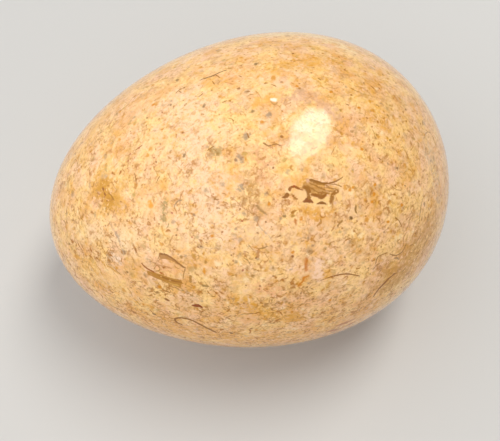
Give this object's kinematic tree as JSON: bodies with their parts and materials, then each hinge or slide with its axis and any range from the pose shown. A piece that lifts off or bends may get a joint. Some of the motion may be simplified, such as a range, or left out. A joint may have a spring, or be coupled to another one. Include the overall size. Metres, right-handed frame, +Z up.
{
  "type": "polished fossil egg",
  "caption": "Egg-shaped stone of shelly limestone, polished all over, lying on its side on a small ground flat.",
  "frame": {"origin": "middle of the small flat that the egg rests on", "axes": "+Z up, out of the floor; +X along the egg's length, from the narrow end to the blunt end; +Y across it. The long axis tilts by about 7 degrees in the XZ plane, narrow end lower"},
  "size_m": [0.1096, 0.085, 0.0847],
  "materials": {
    "stone": "honey-coloured shelly limestone, polished to a gloss"
  },
  "bodies": {
    "root": {"egg": "stone"}
  },
  "joints": []
}
